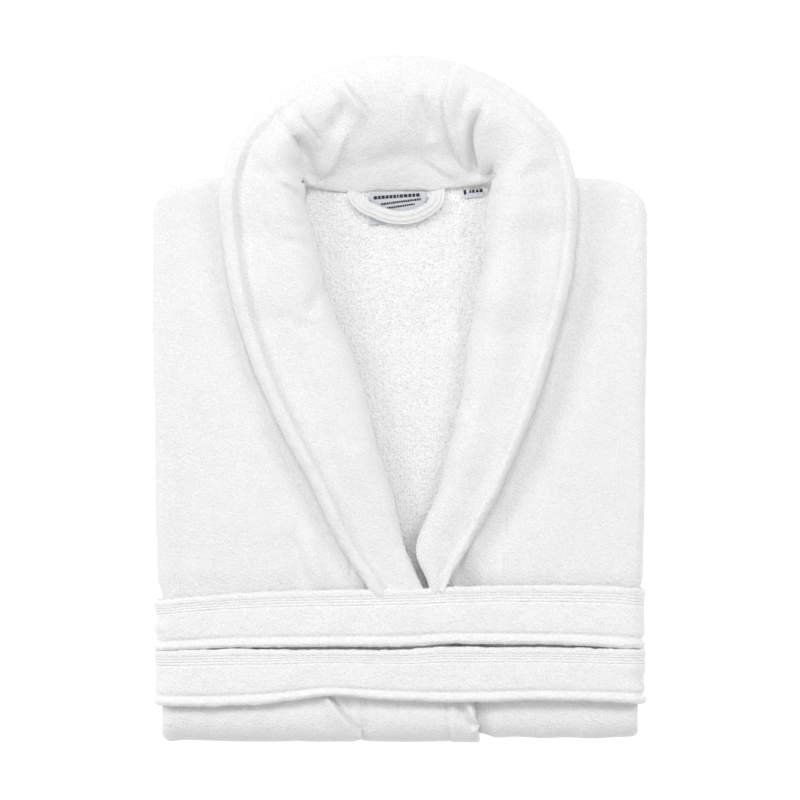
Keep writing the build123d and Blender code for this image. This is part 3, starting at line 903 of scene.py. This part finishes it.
FIRST_TOP = [(-232, -190), (-205, -187), (-183, -185), (-120, -181), (-31, -179), (26, -177.5), (102, -175),
             (197, -175.5), (232, -179)]
FIRST_LOW = [(-232, -238), (-152, -234.5), (-57, -233.8), (7, -233.5), (40, -231), (133, -231.5), (232, -236)]
GAP = [(-232, -0.8), (-200, 0.0), (-150, 1.0), (-95, 2.2), (0, 2.6), (120, 2.6), (180, 1.8), (210, 0.4),
       (232, -0.4)]
SECOND_LOW = [(-232, -289), (-200, -290.5), (-140, -289), (-98, -284), (-66, -280.5), (-26, -283),
              (50, -286.5), (133, -284.5), (200, -286), (232, -288)]


def belt_line(x, points):
    points = np.array(points, float)
    return curve(x, points[:, 0], points[:, 1])


def belt_edges(x, turn):
    """Upper and lower edge of one run over the top of the bundle."""
    if turn == 0:
        return belt_line(x, FIRST_TOP), belt_line(x, FIRST_LOW)
    return belt_line(x, FIRST_LOW) - belt_line(x, GAP), belt_line(x, SECOND_LOW)


def belt_run():
    """Points along the belt's middle line: the way along it, x and z, and the share of the slanting run."""
    first, second = belt_centre()
    line = np.array(first + second)
    way = np.concatenate([[0], np.cumsum(np.hypot(*np.diff(line, axis=0).T))])
    s = np.arange(0, way[-1], 1.9)
    x, z = np.interp(s, way, line[:, 0]), np.interp(s, way, line[:, 1])
    cross_start, cross_end = way[len(first) - 1], way[len(first)]
    return s, x, z, np.clip((s - cross_start) / (cross_end - cross_start), 0, 1)


def belt_ridges(from_top, from_low):
    """Height of the belt's rolled edges over its rows of stitches."""
    ridges = 0.5 * bell(from_top - 4.5, 3.0) + 0.5 * np.sin(np.clip((from_top - 15) / 30, 0, 1) * math.pi)
    for stitch, depth in ((7.2, 0.6), (9.8, 1.0), (12.4, 0.9), (15.4, 1.0)):
        ridges -= depth * bell(from_top - stitch, 0.75)
    low_ridges = 1.4 * bell(from_low - 3.8, 2.8) - 2.0 * bell(from_low - 9.4, 2.2)
    low_ridges -= 0.7 * bell(from_low - 7.4, 0.7)
    return ridges + low_ridges


def belt():
    """The belt in its two turns, as one closed strip."""
    s, x, z, slant = belt_run()
    top0, low0 = belt_edges(x, 0)
    top1, low1 = belt_edges(x, 1)
    y_top = top0 * (1 - slant) + top1 * slant
    y_low = low0 * (1 - slant) + low1 * slant
    tangent = np.gradient(np.stack([x, z], 1), axis=0)
    tangent /= np.linalg.norm(tangent, axis=1, keepdims=True)
    out = np.stack([-tangent[:, 1], tangent[:, 0]], 1)
    # Around the section: over the outer face from upper to lower edge, then back along the inner face.
    w = np.concatenate([np.linspace(0, 0.36, 44)[:-1], np.linspace(0.36, 0.76, 20)[:-1],
                        np.linspace(0.76, 1, 28)])
    from_top, from_low = w * BELT_WIDTH, (1 - w) * BELT_WIDTH
    rounding = np.sqrt(np.clip(1 - (1 - np.clip(np.minimum(from_top, from_low) / 3.2, 0, 1)) ** 2, 0, 1))
    ridges = belt_ridges(from_top, from_low)
    ss, ww = np.meshgrid(s, from_top, indexing="ij")
    soft = 0.6 * noise(ss, ww, 26, 51) + 0.3 * noise(ss, ww, 9, 52) + 0.16 * noise(ss, ww, 3.6, 53)
    # Over the sides the layers bulge one past the other.
    at_side = smoothstep(np.abs(x), 206, 228)[:, None]
    soft += at_side * (1.5 * noise(ww, ww * 0 + np.sign(x)[:, None] * 40 + slant[:, None] * 60, 11, 56) - 0.4)
    outer_h = (2.6 + ridges[None, :] + soft) * rounding
    inner_h = -2.5 * rounding + 0 * soft
    yy = y_top[:, None] + (y_low - y_top)[:, None] * w[None, :]
    fuzz = 0.5 * noise(s, 0 * s, 13, 54) + 0.35 * noise(s, 0 * s, 5, 55) + 0.4 * noise(s, 0 * s, 2.4, 57)
    yy = yy + fuzz[:, None] * np.abs(2 * w - 1) ** 6

    def face(h):
        return np.stack([x[:, None] + out[:, :1] * h, yy, z[:, None] + out[:, 1:] * h], axis=2)

    rings = np.concatenate([face(outer_h), face(inner_h)[:, -2:0:-1]], axis=1)
    return tube("belt_sash", rings)


belt_piece = finish_piece(belt(), BELT_VELOUR, "belt", "velour", "belt")


# ------------------------------------------------------------------ hanging loop and labels
def hanging_loop():
    """A plump strip of tape sewn into the neck seam at both ends, lying face up on the neck label."""
    line = through(
        [(-38, 206, 38), (-41, 200, 42), (-41.5, 194, 49), (-36, 186.5, 52.6), (-24, 180, 53.2),
         (-11, 175.3, 53.4), (3, 173.8, 53.6), (16, 176.3, 53.6), (27, 182, 53.2), (34, 189, 51.4),
         (35, 195.5, 47), (33, 201.5, 41.5), (30, 207, 38)], 140)
    along = np.linspace(0, 1, len(line))
    half = 6.6 + 2.6 * smoothstep(np.abs(along - 0.5), 0.26, 0.45)
    tangent = np.gradient(line, axis=0)
    tangent /= np.linalg.norm(tangent, axis=1, keepdims=True)
    side = np.cross(tangent, (0, 0, 1.0))
    side /= np.linalg.norm(side, axis=1, keepdims=True)
    around = np.linspace(0, 2 * math.pi, 64, endpoint=False)
    across = np.sign(np.cos(around)) * np.abs(np.cos(around)) ** 0.75
    rings = []
    for k, (p, s) in enumerate(zip(line, side)):
        a = across * (half[k] + 0.3 * math.sin(k * 1.9))
        b = np.sign(np.sin(around)) * np.abs(np.sin(around)) ** 0.7 * 2.9
        ribs = 1.3 * np.abs(np.sin(across * 4.6)) + 0.45 * noise(a, np.full_like(a, k * 1.0), 2.6, 61)
        b = np.where(b > 0, b + ribs * np.minimum(b, 1.0) - 0.3, b * 0.8)
        rings.append(p + s * a[:, None] + np.array([0, 0, 1.0]) * b[:, None])
    return tube("hanging_loop_tape", np.array(rings))


finish_piece(hanging_loop(), TAPE, "hanging_loop", "loop_tape", "hanging_loop")


def flat_label(name, low, high, z, rise):
    """A thin woven label. Its lower edge climbs by rise from left to right."""
    share_x, share_y = np.meshgrid(np.linspace(0, 1, 40), np.linspace(0, 1, 30), indexing="ij")
    gx = low[0] + (high[0] - low[0]) * share_x
    gy = high[1] + (low[1] + rise * share_x - high[1]) * share_y
    gz = z + 0.35 * noise(gx, gy, 14, 71)
    return cloth(name, np.stack([gx, gy, gz], axis=2), 0.7, flip=True)


def woven_marks(name, rows, z, seed):
    """Rows of plain dashes woven into a label, in place of print. A row is its start, end and height."""
    random = np.random.default_rng(seed)
    points, faces = [], []
    for (x0, y0), (x1, y1), tall in rows:
        at = x0
        while at < x1:
            long = tall * random.uniform(0.5, 1.1)
            bottom = y0 + (y1 - y0) * (at - x0) / (x1 - x0)
            k = len(points)
            for dz in (0.0, 0.3):
                points += [(at, bottom, z + dz), (at + long, bottom, z + dz),
                           (at + long, bottom + tall, z + dz), (at, bottom + tall, z + dz)]
            faces += [(k + 3, k + 2, k + 1, k), (k + 4, k + 5, k + 6, k + 7)]
            faces += [(k + a, k + (a + 1) % 4, k + 4 + (a + 1) % 4, k + 4 + a) for a in range(4)]
            at += long + tall * 0.35
    return mesh_object(name, points, faces)


LABEL_Z = FLOOR_OF_NECK + 2.6
LABEL_ROWS = [
    ((-25, 191.5), (19, 194.5), 3.0),
    ((-18, 186), (20, 191), 1.9),
    ((-12, 182.6), (14, 186.4), 1.6),
]
finish_piece(flat_label("neck_label_woven", LABEL_LOW + (2, 1.5, 0), LABEL_HIGH, LABEL_Z, 6.0),
             SATIN, "robe", "label", "neck_label")
finish_piece(woven_marks("neck_label_marks", LABEL_ROWS, LABEL_Z + 0.5, 74), INK, "robe", "label")
TAG_Z = FLOOR_OF_NECK + 2.6
TAG_ROWS = [((60.5, 196.2), (63, 196.4), 4.2), ((66, 197.6), (79, 198.8), 2.8)]
finish_piece(flat_label("size_label_woven", TAG_LOW + (0, 4.5, 0), TAG_HIGH, TAG_Z, 1.5),
             SATIN, "size_label", "label", "size_label")
finish_piece(woven_marks("size_label_marks", TAG_ROWS, TAG_Z + 0.4, 75), INK, "size_label", "label")


# ------------------------------------------------------------------ layers inside the bundle
def flat_tube(name, low, high, radius=3.1):
    """A sleeve or cuff pressed flat, closed where it is folded."""
    count = 40
    around = np.linspace(0, 2 * math.pi, 72, endpoint=False)
    half = (high[0] - low[0]) / 2
    middle_x, middle_z = (high[0] + low[0]) / 2, (high[2] + low[2]) / 2
    along = np.linspace(high[1], low[1], count)
    rings = []
    for k, y in enumerate(along):
        end = min(k, count - 1 - k)
        close = math.sin(min(1, (end + 0.35) / 3) * math.pi / 2)
        x = np.sign(np.cos(around)) * np.abs(np.cos(around)) ** 0.35 * half
        z = np.sign(np.sin(around)) * np.abs(np.sin(around)) ** 0.6 * radius * close
        x = x * (0.985 + 0.015 * close) + 0.7 * noise(np.full_like(x, y), z * 4, 24, 81)
        rings.append(np.stack([middle_x + x, np.full_like(x, y), middle_z + z], 1))
    return tube(name, np.array(rings))


for side_name, side in SIDES:
    for kind in ("sleeve", "cuff"):
        low, high = box_mm(f"{kind}_{side_name}")
        piece = flat_tube(f"{kind}_{side_name}_folded", low, high)
        finish_piece(piece, VELOUR, "robe", "velour", f"{kind}_{side_name}")
    for kind, radius in (("pocket", 1.4), ("belt_loop", 1.4)):
        low, high = box_mm(f"{kind}_{side_name}")
        piece = flat_tube(f"{kind}_{side_name}_sewn", low, high, radius)
        finish_piece(piece, VELOUR, "robe", "velour", f"{kind}_{side_name}")


# ------------------------------------------------------------------ floor, light and camera
FLOOR_REACH = 9000
FRAME_WIDTH = 0.76
FOCUS_HEIGHT = 0.06


def surroundings():
    """Even pale light from all sides."""
    world = bpy.data.worlds.new("studio")
    bpy.context.scene.world = world
    world.use_nodes = True
    background = world.node_tree.nodes["Background"]
    background.inputs["Color"].default_value = (1, 1, 1, 1)
    background.inputs["Strength"].default_value = 0.49


def paper_floor():
    """A plain floor that reads as white paper."""
    far = FLOOR_REACH
    corners = [(-far, -far, 0), (far, -far, 0), (far, far, 0), (-far, far, 0)]
    floor = mesh_object("floor", corners, [(0, 1, 2, 3)])
    material = bpy.data.materials.new("floor_paper")
    material.use_nodes = True
    shader = material.node_tree.nodes["Principled BSDF"]
    shader.inputs["Base Color"].default_value = (0.5, 0.5, 0.5, 1)
    shader.inputs["Roughness"].default_value = 1.0
    shader.inputs["Specular IOR Level"].default_value = 0.0
    shader.inputs["Emission Color"].default_value = (1, 1, 1, 1)
    shader.inputs["Emission Strength"].default_value = 0.72
    floor.data.materials.append(material)


def area(name, place, size, power):
    """A soft light at a place in metres, turned towards the robe."""
    light = bpy.data.lights.new(name, "AREA")
    light.shape = "RECTANGLE"
    light.size, light.size_y = size
    light.energy = power
    holder = bpy.data.objects.new(name, light)
    bpy.context.scene.collection.objects.link(holder)
    holder.location = place
    holder.rotation_euler = (-Vector(place)).to_track_quat("-Z", "Y").to_euler()


def camera_above():
    """A camera straight above the robe, far enough off to show no slant."""
    camera = bpy.data.cameras.new("camera")
    camera.lens = 240
    camera.sensor_width = 36
    holder = bpy.data.objects.new("camera", camera)
    bpy.context.scene.collection.objects.link(holder)
    holder.location = (0, 0.0005, FOCUS_HEIGHT + camera.lens * FRAME_WIDTH / camera.sensor_width)
    bpy.context.scene.camera = holder


bpy.context.scene.view_settings.view_transform = "Standard"
surroundings()
paper_floor()
area("key_left", (-2.2, 0.8, 1.6), (1.4, 1.0), 23)
area("key_top", (-0.2, 1.6, 2.6), (0.9, 0.9), 18)
area("key_right", (1.6, 0.9, 1.9), (1.2, 1.0), 16)
area("fill", (-0.3, -1.1, 2.7), (2.0, 2.0), 9)
camera_above()
